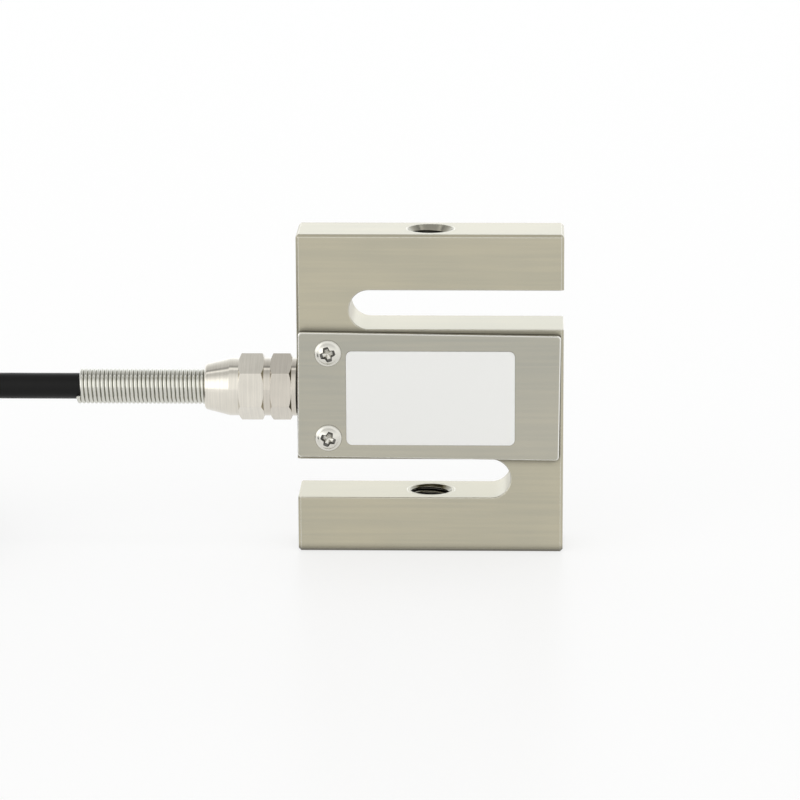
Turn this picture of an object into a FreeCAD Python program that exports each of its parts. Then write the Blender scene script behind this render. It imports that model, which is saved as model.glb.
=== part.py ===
"""S-shaped load cell with its cover plates, gauges, cable gland, relief spring and tied cable.

Frame: the origin is where the axis of the two load threads leaves the bottom face. +Z runs up
along that axis, +X points away from the cable, and -Y is the side with the label. Millimetres.
"""
import FreeCAD, Part
import math
import os

import Sketcher
from FreeCAD import Placement, Rotation, Vector

SIZES = [
    # the S-shaped body
    ("body_width", 50.8),
    ("body_thick", 12.7),
    ("arm_height", 10.7),
    ("slot_height", 7.6),
    ("block_height", 25.4),
    ("column_width", 10.0),
    ("edge_chamfer", 0.5),
    ("slot_break", 0.1),
    ("thread_major", 8.0),
    ("thread_pitch", 1.25),
    ("mouth_depth", 0.39),
    ("inner_break", 0.2),
    ("pocket_width", 25.0),
    ("pocket_height", 14.0),
    ("pocket_corner", 3.0),
    ("web_thick", 2.3),
    ("passage_width", 4.8),
    ("passage_run", 2.0),
    # the cover plates, their gaskets and the label
    ("gasket_thick", 0.25),
    ("gasket_margin", 0.8),
    ("cover_length", 49.9),
    ("cover_height", 24.35),
    ("cover_thick", 1.0),
    ("cover_corner", 0.7),
    ("cover_round", 0.3),
    ("cover_shift", -0.25),
    ("cover_drop", 0.15),
    ("front_cover_turn", 0.7),
    ("label_width", 32.1),
    ("label_height", 18.3),
    ("label_thick", 0.15),
    ("label_corner", 1.1),
    ("label_drop", 0.43),
    ("label_shift", 0.1),
    # the cover screws
    ("screw_inset", 6.0),
    ("screw_spacing", 16.55),
    ("screw_major", 2.5),
    ("screw_length", 5.2),
    ("screw_gap", 0.7),
    ("screw_fit", 0.05),
    ("hole_spare", 0.6),
    ("head_width", 5.15),
    ("head_height", 1.5),
    ("head_round", 1.1),
    ("recess_width", 2.9),
    ("recess_slot", 0.9),
    ("recess_depth", 0.9),
    # what sits on the web between the pockets
    ("gauge_length", 8.0),
    ("gauge_height", 6.4),
    ("gauge_thick", 0.15),
    ("board_length", 4.2),
    ("board_height", 10.0),
    ("board_thick", 0.8),
    ("board_gap", 1.2),
    ("pad_width", 1.5),
    ("pad_thick", 0.15),
    ("pad_spacing", 2.4),
    ("resistor_length", 3.2),
    ("resistor_height", 1.6),
    ("resistor_thick", 0.6),
    ("resistor_gap", 1.6),
    ("resistor_spacing", 4.0),
    ("core_width", 0.8),
    ("core_offset", 0.62),
    # the cable gland, measured outwards from the body's side
    ("gland_thread", 8.0),
    ("gland_fit", 0.05),
    ("gland_bore_depth", 8.5),
    ("spigot_length", 7.6),
    ("washer_thick", 0.3),
    ("washer_width", 10.2),
    ("flange_width", 11.2),
    ("flange_length", 0.9),
    ("hex_width", 11.15),
    ("hex_turn", 35.5),
    ("hex_face", 11.45),
    ("hex_bevel", 0.4),
    ("gland_hex_length", 4.05),
    ("neck_length", 1.3),
    ("cap_hex_length", 4.8),
    ("collar_length", 1.8),
    ("nose_length", 4.85),
    ("nose_tip", 8.7),
    ("nose_round", 0.6),
    ("cap_thread", 9.0),
    ("cap_thread_length", 4.3),
    ("cap_fit", 0.05),
    ("grommet_width", 7.0),
    ("grommet_depth", 4.6),
    ("grommet_head", 8.6),
    ("grommet_head_thick", 1.0),
    ("clamp_thick", 1.2),
    ("clamp_width", 8.8),
    ("cable_fit", 0.1),
    # the relief spring and the cable
    ("cable_width", 5.0),
    ("cable_inset", 7.9),
    ("spring_wire", 0.78),
    ("spring_pitch", 0.8),
    ("spring_outside", 24.7),
    ("spring_play", 0.14),
    ("nose_play", 0.09),
    # the tied hank of cable and its loose end
    ("strand_pitch", 5.1),
    ("hank_layers", 4.0),
    ("hank_center", 142.0),
    ("hank_reach", 28.0),
    ("loop_radius", 15.5),
    ("waist_offset", 2.55),
    ("tie_width", 4.6),
    ("tie_thick", 1.1),
    ("sleeve_length", 9.0),
    ("sleeve_thick", 0.35),
    ("end_core_width", 1.1),
    ("end_core_length", 20.0),
]

doc = FreeCAD.newDocument("load_cell")
sheet = doc.addObject("Spreadsheet::Sheet", "sizes")
for row, (alias, number) in enumerate(SIZES, start=1):
    sheet.set(f"A{row}", alias)
    sheet.set(f"B{row}", str(number))
    sheet.setAlias(f"B{row}", alias)
doc.recompute()

nodes = []  # every sub-part that is written out


def value(expression):
    """The number that an expression of the sheet's cells gives."""
    return float(sheet.evalExpression(expression.replace("sizes.", "")))


def size(alias):
    """The number in one cell of the sheet."""
    return float(sheet.get(alias))


# Levels and stations that several pieces share.
HALF_WIDTH = "(sizes.body_width / 2)"
HALF_THICK = "(sizes.body_thick / 2)"
BODY_HEIGHT = "(2 * sizes.arm_height + 2 * sizes.slot_height + sizes.block_height)"
CABLE_LEVEL = "(sizes.arm_height + sizes.slot_height + sizes.block_height / 2)"
HALF_WEB = "(sizes.web_thick / 2)"
GASKET_FACE = f"({HALF_THICK} + sizes.gasket_thick)"
COVER_FACE = f"({GASKET_FACE} + sizes.cover_thick)"
SCREW_ACROSS = f"(sizes.screw_inset - {HALF_WIDTH})"
# Stations along the gland, outwards from the body's side.
FLANGE_END = "(sizes.washer_thick + sizes.flange_length)"
GLAND_HEX_END = f"({FLANGE_END} + sizes.gland_hex_length)"
NECK_END = f"({GLAND_HEX_END} + sizes.neck_length)"
CAP_HEX_END = f"({NECK_END} + sizes.cap_hex_length)"
COLLAR_END = f"({CAP_HEX_END} + sizes.collar_length)"
NOSE_END = f"({COLLAR_END} + sizes.nose_length)"
CAP_THREAD_END = f"({NECK_END} + sizes.cap_thread_length)"
CLAMP_START = f"({CAP_THREAD_END} + sizes.grommet_head_thick)"
CLAMP_END = f"({CLAMP_START} + sizes.clamp_thick)"
SPRING_END = f"({NOSE_END} + sizes.spring_outside)"
HEX_CORNER = "(sizes.hex_width / sqrt(3))"
CABLE_BORE = "(sizes.cable_width / 2 + sizes.cable_fit)"
SPRING_BORE = "(sizes.cable_width / 2 + sizes.spring_play)"
SPRING_OUTER = f"({SPRING_BORE} + sizes.spring_wire)"


def keep(part, label):
    """Names a sub-part and lists it for export."""
    part.Label = label
    nodes.append(part)
    return part


def bind(part, across="0", along="0", up="0"):
    """Ties where a sub-part sits to the sheet."""
    for axis, expression in zip("xyz", (across, along, up), strict=True):
        part.setExpression(f"Placement.Base.{axis}", expression)


def new_body(label):
    """A PartDesign body that is kept as the node of that name."""
    return keep(doc.addObject("PartDesign::Body", label), label)


def sketch_on(body, plane, offset="0"):
    """A sketch on one of the body's own planes, moved along the plane's normal."""
    sketch = body.newObject("Sketcher::SketchObject", f"{body.Name}_sketch")
    origin = next(f for f in body.Origin.OriginFeatures if f.Role == plane)
    sketch.AttachmentSupport = [(origin, "")]
    sketch.MapMode = "FlatFace"
    sketch.setExpression("AttachmentOffset.Base.z", offset)
    return sketch


def place_point(sketch, geometry, point, across, up):
    """Ties one point of a sketch to two expressions, measured from the sketch's origin."""
    for kind, expression in (("DistanceX", across), ("DistanceY", up)):
        constraint = Sketcher.Constraint(kind, -1, 1, geometry, point, value(expression))
        index = sketch.addConstraint(constraint)
        sketch.setExpression(f"Constraints[{index}]", expression)


def outline(sketch, points):
    """A closed outline of straight lines through points, each a pair of expressions."""
    first = sketch.GeometryCount
    spots = [Vector(value(across), value(up), 0) for across, up in points]
    for k, spot in enumerate(spots):
        sketch.addGeometry(Part.LineSegment(spot, spots[(k + 1) % len(spots)]), False)
    for k, (across, up) in enumerate(points):
        before = first + (k - 1) % len(points)
        sketch.addConstraint(Sketcher.Constraint("Coincident", before, 2, first + k, 1))
        place_point(sketch, first + k, 1, across, up)


def rectangle(sketch, left, right, low, high):
    """A rectangle between two pairs of expressions."""
    outline(sketch, [(left, low), (right, low), (right, high), (left, high)])


def circle(sketch, across, up, radius):
    """A circle about a point, all three given as expressions."""
    middle = Vector(value(across), value(up), 0)
    index = sketch.addGeometry(Part.Circle(middle, Vector(0, 0, 1), value(radius)), False)
    place_point(sketch, index, 3, across, up)
    constraint = sketch.addConstraint(Sketcher.Constraint("Radius", index, value(radius)))
    sketch.setExpression(f"Constraints[{constraint}]", radius)


def extrude(body, kind, sketch, length, side="One side", reverse=False):
    """A Pad or Pocket of a sketch. A Pocket that removes nothing stops the script."""
    before = body.Shape.Volume if kind == "Pocket" else 0.0
    feature = body.newObject(f"PartDesign::{kind}", f"{body.Name}_{kind}")
    feature.Profile = sketch
    feature.SideType = side
    feature.Reversed = reverse
    feature.setExpression("Length", length)
    doc.recompute()
    if kind == "Pocket" and not body.Shape.Volume < before - 1e-6:
        raise RuntimeError(f"{feature.Name} removes nothing from {body.Label}")
    return feature


def spin(body, kind, sketch, axis):
    """A full Revolution or Groove of a sketch about one of the sketch's own axes."""
    before = body.Shape.Volume if kind == "Groove" else 0.0
    feature = body.newObject(f"PartDesign::{kind}", f"{body.Name}_{kind}")
    feature.Profile = sketch
    feature.ReferenceAxis = (sketch, [axis])
    feature.Angle = 360.0
    doc.recompute()
    if kind == "Groove" and not body.Shape.Volume < before - 1e-6:
        raise RuntimeError(f"{feature.Name} removes nothing from {body.Label}")
    return feature


def dress(body, kind, wanted, amount):
    """A Fillet or Chamfer on every edge of the body's last shape that passes a test."""
    doc.recompute()
    tip = body.Tip
    edges = [f"Edge{k}" for k, edge in enumerate(tip.Shape.Edges, start=1) if wanted(edge)]
    if not edges:
        raise RuntimeError(f"{body.Label} has no edge to {kind}")
    feature = body.newObject(f"PartDesign::{kind}", f"{body.Name}_{kind}")
    feature.Base = (tip, edges)
    feature.setExpression("Radius" if kind == "Fillet" else "Size", amount)
    doc.recompute()
    return feature


def runs_along(edge, axis):
    """True if an edge is straight and parallel to an axis."""
    ends = [v.Point for v in edge.Vertexes]
    if len(ends) != 2 or edge.Curve.TypeId != "Part::GeomLine":
        return False
    return (ends[1] - ends[0]).cross(axis).Length < 1e-6


def near(a, b):
    """True if two lengths are the same."""
    return abs(a - b) < 1e-4


def s_body():
    """The one-piece S: two arms, two slots with round ends, and the block between them."""
    body = new_body("s_body")
    half_slot = "sizes.slot_height / 2"
    far = f"({HALF_WIDTH} + sizes.slot_height)"
    turn_in = f"({HALF_WIDTH} - sizes.column_width - {half_slot})"
    upper_floor = "(sizes.arm_height + sizes.slot_height + sizes.block_height)"
    lower_middle = f"(sizes.arm_height + {half_slot})"
    upper_middle = f"({upper_floor} + {half_slot})"
    through = "2 * sizes.body_thick"

    blank = sketch_on(body, "XZ_Plane")
    rectangle(blank, f"-{HALF_WIDTH}", HALF_WIDTH, "0", BODY_HEIGHT)
    extrude(body, "Pad", blank, "sizes.body_thick", side="Symmetric")

    half_height = value(BODY_HEIGHT) / 2
    half_thick = value(HALF_THICK)
    half_width = value(HALF_WIDTH)

    def flat_on_face(edge):
        """True if an edge lies in the front or the back face."""
        middle = edge.CenterOfMass
        return all(near(abs(v.Y), half_thick) and near(v.Y, middle.y) for v in edge.Vertexes)

    def on_outline(edge):
        """Edges of the front and back faces, and the short edges at the four outer corners."""
        middle = edge.CenterOfMass
        outer = near(abs(middle.x), half_width) and near(abs(middle.z - half_height), half_height)
        return flat_on_face(edge) or (outer and runs_along(edge, Vector(0, 1, 0)))

    dress(body, "Chamfer", on_outline, "sizes.edge_chamfer")

    slots = sketch_on(body, "XZ_Plane")
    rectangle(slots, f"-{turn_in}", far, upper_floor, f"({upper_floor} + sizes.slot_height)")
    low_roof = "(sizes.arm_height + sizes.slot_height)"
    rectangle(slots, f"-{far}", turn_in, "sizes.arm_height", low_roof)
    extrude(body, "Pocket", slots, through, side="Symmetric")

    slot_ends = sketch_on(body, "XZ_Plane")
    circle(slot_ends, f"-{turn_in}", upper_middle, half_slot)
    circle(slot_ends, turn_in, lower_middle, half_slot)
    extrude(body, "Pocket", slot_ends, through, side="Symmetric")

    def on_slot(edge):
        """Edges of the two slots in the front and back faces."""
        inside = size("edge_chamfer") + 0.01
        reach = max(abs(v.X) for v in edge.Vertexes) < half_width + 0.01
        upper = any(abs(v.Z - half_height) < half_height - inside for v in edge.Vertexes)
        across = abs(edge.Vertexes[0].X - edge.Vertexes[-1].X) > 0.01
        curved = edge.Curve.TypeId == "Part::GeomCircle"
        return flat_on_face(edge) and reach and upper and (across or curved)

    dress(body, "Chamfer", on_slot, "sizes.slot_break")

    for side in (1, -1):
        pocket = sketch_on(body, "XZ_Plane", f"{side} * {HALF_THICK}")
        rectangle(
            pocket,
            "-sizes.pocket_width / 2",
            "sizes.pocket_width / 2",
            f"{CABLE_LEVEL} - sizes.pocket_height / 2",
            f"{CABLE_LEVEL} + sizes.pocket_height / 2",
        )
        depth = f"{HALF_THICK} - {HALF_WEB}"
        extrude(body, "Pocket", pocket, depth, reverse=side < 0)
    pocket_half = size("pocket_width") / 2

    def at_pocket_corner(edge):
        """Edges that run along Y at the corners of the two gauge pockets."""
        upright = runs_along(edge, Vector(0, 1, 0))
        return upright and near(abs(edge.CenterOfMass.x), pocket_half)

    dress(body, "Fillet", at_pocket_corner, "sizes.pocket_corner")

    tap = "(sizes.thread_major - 1.0825 * sizes.thread_pitch) / 2"
    for low, turned_up in (("0", 1), (BODY_HEIGHT, -1)):
        bore = sketch_on(body, "XZ_Plane")
        levels = ("0", "sizes.mouth_depth", "sizes.arm_height - sizes.inner_break", "sizes.arm_height")
        radii = ("sizes.thread_major / 2", tap, tap, f"{tap} + sizes.inner_break")
        profile = [("0", levels[0]), *zip(radii, levels, strict=True), ("0", levels[-1])]
        outline(bore, [(across, f"{low} + {turned_up} * ({up})") for across, up in profile])
        spin(body, "Groove", bore, "V_Axis")

    gland_bore = sketch_on(body, "YZ_Plane", f"-{HALF_WIDTH}")
    circle(gland_bore, "0", CABLE_LEVEL, "sizes.gland_thread / 2")
    extrude(body, "Pocket", gland_bore, "sizes.gland_bore_depth", reverse=True)
    passage = sketch_on(body, "YZ_Plane", f"-{HALF_WIDTH}")
    circle(passage, "0", CABLE_LEVEL, "sizes.passage_width / 2")
    passage_end = f"{HALF_WIDTH} - sizes.pocket_width / 2 + sizes.passage_run"
    extrude(body, "Pocket", passage, passage_end, reverse=True)

    hole_depth = (
        "sizes.screw_length - sizes.cover_thick - sizes.gasket_thick + sizes.hole_spare"
    )
    for side in (1, -1):
        holes = sketch_on(body, "XZ_Plane", f"{side} * {HALF_THICK}")
        for sign in "+-":
            up = f"{CABLE_LEVEL} {sign} sizes.screw_spacing / 2"
            circle(holes, SCREW_ACROSS, up, "sizes.screw_major / 2 + sizes.screw_fit")
        extrude(body, "Pocket", holes, hole_depth, reverse=side < 0)


def gasket(label, side):
    """The thin gasket between the block and a cover, open over the gauge pocket."""
    body = new_body(label)
    wide = f"({HALF_WIDTH} - sizes.edge_chamfer - sizes.gasket_margin)"
    tall = "(sizes.block_height / 2 - sizes.edge_chamfer - sizes.gasket_margin)"
    sheet_outline = sketch_on(body, "XZ_Plane")
    rectangle(sheet_outline, f"-{wide}", wide, f"-{tall}", tall)
    half_window = "(sizes.pocket_width / 2)"
    half_tall = "(sizes.pocket_height / 2)"
    rectangle(sheet_outline, f"-{half_window}", half_window, f"-{half_tall}", half_tall)
    for sign in "+-":
        up = f"{sign} sizes.screw_spacing / 2"
        circle(sheet_outline, SCREW_ACROSS, up, "(sizes.screw_major + sizes.screw_gap) / 2")
    extrude(body, "Pad", sheet_outline, "sizes.gasket_thick", reverse=side > 0)
    bind(body, along=f"{side} * {HALF_THICK}", up=CABLE_LEVEL)


def cover(label, side, turn):
    """A thin cover plate. Its two screw holes leave room for it to sit slightly turned."""
    body = new_body(label)
    wide = "(sizes.cover_length / 2)"
    tall = "(sizes.cover_height / 2)"
    plate = sketch_on(body, "XZ_Plane")
    rectangle(plate, f"-{wide}", wide, f"-{tall}", tall)
    extrude(body, "Pad", plate, "sizes.cover_thick", reverse=side > 0)
    dress(body, "Fillet", lambda e: runs_along(e, Vector(0, 1, 0)), "sizes.cover_corner")
    outer = side * size("cover_thick")

    def on_outer_face(edge):
        """Edges round the cover's outer face."""
        return all(near(v.Y, outer) for v in edge.Vertexes)

    dress(body, "Fillet", on_outer_face, "sizes.cover_round")
    holes = sketch_on(body, "XZ_Plane")
    for sign in "+-":
        up = f"sizes.cover_drop {sign} sizes.screw_spacing / 2"
        across = f"{SCREW_ACROSS} - sizes.cover_shift"
        circle(holes, across, up, "(sizes.screw_major + sizes.screw_gap) / 2")
    extrude(body, "Pocket", holes, "3 * sizes.cover_thick", side="Symmetric")
    body.Placement = Placement(Vector(), Rotation(Vector(0, 1, 0), 1.0))
    body.setExpression("Placement.Rotation.Angle", turn)
    level = f"{CABLE_LEVEL} - sizes.cover_drop"
    bind(body, "sizes.cover_shift", f"{side} * {GASKET_FACE}", level)


def label_plate():
    """The blank label on the front cover, stuck on level with the body."""
    body = new_body("front_label")
    face = sketch_on(body, "XZ_Plane")
    wide = "(sizes.label_width / 2)"
    tall = "(sizes.label_height / 2)"
    rectangle(face, f"-{wide}", wide, f"-{tall}", tall)
    extrude(body, "Pad", face, "sizes.label_thick")
    dress(body, "Fillet", lambda e: runs_along(e, Vector(0, 1, 0)), "sizes.label_corner")
    bind(body, "sizes.label_shift", f"-{COVER_FACE}", f"{CABLE_LEVEL} - sizes.label_drop")


def screw(label, side, sign, turn):
    """A pan-head machine screw with a cross recess, its head seated on the cover."""
    body = new_body(label)
    rim = "(sizes.head_width / 2)"
    shank = "(sizes.screw_major / 2)"
    profile = sketch_on(body, "XY_Plane")
    outline(
        profile,
        [
            ("0", "-sizes.head_height"),
            (rim, "-sizes.head_height"),
            (rim, "0"),
            (shank, "0"),
            (shank, "sizes.screw_length"),
            ("0", "sizes.screw_length"),
        ],
    )
    spin(body, "Revolution", profile, "V_Axis")
    top = -size("head_height")

    def head_rim(edge):
        """The circle round the top of the head."""
        return all(near(v.Y, top) for v in edge.Vertexes) and edge.Curve.TypeId == "Part::GeomCircle"

    dress(body, "Fillet", head_rim, "sizes.head_round")
    cross = sketch_on(body, "XZ_Plane", "sizes.head_height")
    reach = "(sizes.recess_width / 2)"
    half = "(sizes.recess_slot / 2)"
    corner = [(reach, f"-{half}"), (reach, half), (half, half)]
    points = list(corner)
    for _ in range(3):
        corner = [(f"-({up})", across) for across, up in corner]
        points += corner
    outline(cross, points)
    extrude(body, "Pocket", cross, "sizes.recess_depth")
    facing = Rotation(Vector(0, 0, 1), 180 if side > 0 else 0)
    body.Placement = Placement(Vector(), facing * Rotation(Vector(0, 1, 0), turn))
    up = f"{CABLE_LEVEL} {sign} sizes.screw_spacing / 2"
    bind(body, SCREW_ACROSS, f"{side} * {COVER_FACE}", up)


def block(label, length, thick, height, across, side, level="0"):
    """A thin rectangular part bonded to the web, on the front (-1) or the back (1) of it."""
    box = keep(doc.addObject("Part::Box", label), label)
    for name, expression in (("Length", length), ("Width", thick), ("Height", height)):
        box.setExpression(name, expression)
    along = HALF_WEB if side > 0 else f"-{HALF_WEB} - {thick}"
    bind(box, f"{across} - {length} / 2", along, f"{CABLE_LEVEL} + {level} - {height} / 2")
    return box


BOARD_ACROSS = "(-sizes.gauge_length / 2 - sizes.board_gap - sizes.board_length / 2)"
PAD_LEVELS = (1.5, 0.5, -0.5, -1.5)  # in pad spacings above the cable's axis


def terminal_board():
    """The small board that the cable's four cores are soldered to, with its four pads."""
    board = block(
        "terminal_board",
        "sizes.board_length",
        "sizes.board_thick",
        "sizes.board_height",
        BOARD_ACROSS,
        -1,
    )
    nodes.remove(board)
    board.Label = "board_plate"
    pieces = [board]
    for level in PAD_LEVELS:
        pad = doc.addObject("Part::Cylinder", "pad")
        pad.setExpression("Radius", "sizes.pad_width / 2")
        pad.setExpression("Height", "sizes.pad_thick")
        pad.Placement = Placement(Vector(), Rotation(Vector(1, 0, 0), 90))
        up = f"{CABLE_LEVEL} + {level} * sizes.pad_spacing"
        bind(pad, BOARD_ACROSS, f"-{HALF_WEB} - sizes.board_thick", up)
        pieces.append(pad)
    fused = doc.addObject("Part::MultiFuse", "terminal_board")
    fused.Shapes = pieces
    keep(fused, "terminal_board")


def web_parts():
    """The two strain gauges, the terminal board and the two trimming resistors."""
    for label, side in (("strain_gauge_front", -1), ("strain_gauge_back", 1)):
        block(label, "sizes.gauge_length", "sizes.gauge_thick", "sizes.gauge_height", "0", side)
    terminal_board()
    across = "(sizes.gauge_length / 2 + sizes.resistor_gap + sizes.resistor_length / 2)"
    for label, sign in (("span_resistor", "+"), ("balance_resistor", "-")):
        block(
            label,
            "sizes.resistor_length",
            "sizes.resistor_thick",
            "sizes.resistor_height",
            across,
            -1,
            f"{sign} sizes.resistor_spacing / 2",
        )


def turned(label, profile):
    """A turned piece about the cable's axis, its profile given outwards from the body's side."""
    body = new_body(label)
    half = sketch_on(body, "XY_Plane")
    outline(half, profile)
    spin(body, "Revolution", half, "H_Axis")
    body.Placement = Placement(Vector(), Rotation(Vector(0, 0, 1), 180))
    bind(body, f"-{HALF_WIDTH}", "0", CABLE_LEVEL)
    return body


def hex_profile(start, end):
    """The profile of a hexagon's corners, bevelled at both ends."""
    face = "sizes.hex_face / 2"
    return [
        (start, face),
        (f"{start} + sizes.hex_bevel", HEX_CORNER),
        (f"{end} - sizes.hex_bevel", HEX_CORNER),
        (end, face),
    ]


def cut_hexagon(body, start, length):
    """Cuts the six flats of a hexagon over one stretch of a turned piece."""
    ring = sketch_on(body, "YZ_Plane", start)
    circle(ring, "0", "0", "sizes.hex_width")
    angles = [f"(sizes.hex_turn + {60 * k})" for k in range(6)]
    outline(ring, [(f"{HEX_CORNER} * cos{a}", f"{HEX_CORNER} * sin{a}") for a in angles])
    extrude(body, "Pocket", ring, length, reverse=True)


def gland_body():
    """The gland's body: threaded spigot, flange, hexagon, neck and the thread of its cap nut."""
    spigot = "(sizes.gland_thread / 2 - sizes.gland_fit)"
    flange = "(sizes.flange_width / 2)"
    thread = "(sizes.cap_thread / 2)"
    seat = "(sizes.grommet_width / 2 + sizes.gland_fit)"
    body = turned(
        "gland_body",
        [
            ("-sizes.spigot_length", CABLE_BORE),
            ("-sizes.spigot_length", spigot),
            ("sizes.washer_thick", spigot),
            ("sizes.washer_thick", flange),
            (FLANGE_END, flange),
            *hex_profile(FLANGE_END, GLAND_HEX_END),
            (GLAND_HEX_END, flange),
            (NECK_END, flange),
            (NECK_END, thread),
            (CAP_THREAD_END, thread),
            (CAP_THREAD_END, seat),
            (f"{CAP_THREAD_END} - sizes.grommet_depth", seat),
            (f"{CAP_THREAD_END} - sizes.grommet_depth", CABLE_BORE),
        ],
    )
    cut_hexagon(body, FLANGE_END, "sizes.gland_hex_length")


def gland_cap_nut():
    """The cap nut: hexagon, plain collar and a tapered nose that the spring comes out of."""
    collar = "(sizes.flange_width / 2)"
    thread = "(sizes.cap_thread / 2 + sizes.cap_fit)"
    nose_bore = f"({SPRING_OUTER} + sizes.nose_play)"
    body = turned(
        "gland_cap_nut",
        [
            *hex_profile(NECK_END, CAP_HEX_END),
            (CAP_HEX_END, collar),
            (COLLAR_END, collar),
            (NOSE_END, "sizes.nose_tip / 2"),
            (NOSE_END, nose_bore),
            (CLAMP_END, nose_bore),
            (CLAMP_END, thread),
            (NECK_END, thread),
        ],
    )
    tip = value(NOSE_END)
    tip_radius = size("nose_tip") / 2

    def round_tip(edge):
        """The outer circle at the end of the nose."""
        circular = edge.Curve.TypeId == "Part::GeomCircle"
        at_tip = all(near(v.X, tip) for v in edge.Vertexes)
        return circular and at_tip and near(edge.Curve.Radius, tip_radius)

    dress(body, "Fillet", round_tip, "sizes.nose_round")
    cut_hexagon(body, NECK_END, "sizes.cap_hex_length")


def gland_inside():
    """The washer under the flange, the rubber grommet, the clamping ring and the cable in them."""
    spigot = "(sizes.gland_thread / 2)"
    washer = "sizes.washer_width / 2"
    turned(
        "gland_washer",
        [
            ("0", spigot),
            ("0", washer),
            ("sizes.washer_thick", washer),
            ("sizes.washer_thick", spigot),
        ],
    )
    cable = "(sizes.cable_width / 2)"
    seat = f"({CAP_THREAD_END} - sizes.grommet_depth)"
    turned(
        "seal_grommet",
        [
            (seat, cable),
            (seat, "sizes.grommet_width / 2"),
            (CAP_THREAD_END, "sizes.grommet_width / 2"),
            (CAP_THREAD_END, "sizes.grommet_head / 2"),
            (CLAMP_START, "sizes.grommet_head / 2"),
            (CLAMP_START, cable),
        ],
    )
    turned(
        "clamp_ring",
        [
            (CLAMP_START, CABLE_BORE),
            (CLAMP_START, "sizes.clamp_width / 2"),
            (CLAMP_END, "sizes.clamp_width / 2"),
            (CLAMP_END, CABLE_BORE),
        ],
    )
    turned(
        "cable_in_gland",
        [
            ("-sizes.cable_inset", "0"),
            ("-sizes.cable_inset", cable),
            (SPRING_END, cable),
            (SPRING_END, "0"),
        ],
    )


def solid_part(label, shape):
    """A sub-part whose shape is built with Part's own functions."""
    part = doc.addObject("Part::Feature", label)
    part.Shape = shape
    return keep(part, label)


def relief_spring():
    """The close-wound spring, as a revolved row of round turns with a plain bore."""
    start, end = value(CLAMP_END), value(SPRING_END)
    turns = max(1, round((end - start) / size("spring_pitch")))
    step = (end - start) / turns
    bore = value(SPRING_BORE)
    valley = bore + size("spring_wire") / 2
    crest = bore + size("spring_wire")
    edges = [Part.LineSegment(Vector(start, bore, 0), Vector(start, valley, 0)).toShape()]
    for k in range(turns):
        low = start + k * step
        left, top, right = (
            Vector(low, valley, 0),
            Vector(low + step / 2, crest, 0),
            Vector(low + step, valley, 0),
        )
        edges.append(Part.Arc(left, top, right).toShape())
    edges.append(Part.LineSegment(Vector(end, valley, 0), Vector(end, bore, 0)).toShape())
    edges.append(Part.LineSegment(Vector(end, bore, 0), Vector(start, bore, 0)).toShape())
    section = Part.Face(Part.Wire(edges))
    part = solid_part("relief_spring", section.revolve(Vector(), Vector(1, 0, 0), 360))
    part.Placement = Placement(Vector(), Rotation(Vector(0, 0, 1), 180))
    bind(part, f"-{HALF_WIDTH}", "0", CABLE_LEVEL)


def rounded_path(points, name, least):
    """Straight runs joined by tangent arcs as large as the runs allow. Prints the radii."""
    edges, start, radii = [], points[0], []
    for before, corner, after in zip(points, points[1:], points[2:], strict=False):
        back, ahead = before - corner, after - corner
        shorter = min(back.Length, ahead.Length)
        back.normalize()
        ahead.normalize()
        half_turn = (math.pi - back.getAngle(ahead)) / 2
        trim = 0.45 * shorter
        radii.append(trim / math.tan(half_turn))
        enter, leave = corner + back * trim, corner + ahead * trim
        inwards = (back + ahead).normalize()
        depth = radii[-1] * (1 / math.cos(half_turn) - 1)
        edges.append(Part.LineSegment(start, enter).toShape())
        edges.append(Part.Arc(enter, corner + inwards * depth, leave).toShape())
        start = leave
    edges.append(Part.LineSegment(start, points[-1]).toShape())
    if radii:
        print(f"{name}: radii from {min(radii):.1f} mm, wanted at least {least:.1f} mm")
    return Part.Wire(edges)


def tube(points, width, name, least=0.0):
    """A round tube along a path, checked against its section times its length."""
    path = rounded_path(points, name, least)
    heading = (points[1] - points[0]).normalize()
    ring = Part.Wire(Part.Circle(points[0], heading, width / 2).toShape())
    shape = path.makePipeShell([ring], True, False)
    expected = math.pi * width**2 / 4 * path.Length
    if abs(shape.Volume - expected) > 0.01 * expected:
        raise RuntimeError(f"{name} has volume {shape.Volume:.1f}, not {expected:.1f}")
    print(f"{name}: {path.Length:.1f} mm long")
    return shape


def inner_cores():
    """The four cores from the end of the cable's jacket to their pads on the terminal board."""
    radius = size("core_width") / 2
    offset = size("core_offset")
    level = value(CABLE_LEVEL)
    start = size("cable_inset") - value(HALF_WIDTH)
    wall = -size("pocket_width") / 2
    pad_face = -value(HALF_WEB) - size("board_thick") - size("pad_thick")
    board = value(BOARD_ACROSS)
    lift = pad_face - radius
    spacing = size("pad_spacing")
    quadrants = (
        ("core_inner_red", 1, 1),
        ("core_inner_black", -1, 1),
        ("core_inner_green", -1, -1),
        ("core_inner_white", 1, -1),
    )
    for (label, along, up), pad in zip(quadrants, PAD_LEVELS, strict=True):
        pad_level = level + pad * spacing
        leaving = level + up * offset
        route = [
            Vector(start, along * offset, leaving),
            Vector(wall, along * offset, leaving),
            Vector((wall + board) / 2 - radius, lift - radius, leaving + 0.6 * (pad_level - leaving)),
            Vector(board, lift, pad_level),
        ]
        solid_part(label, tube(route, 2 * radius, label))


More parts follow.
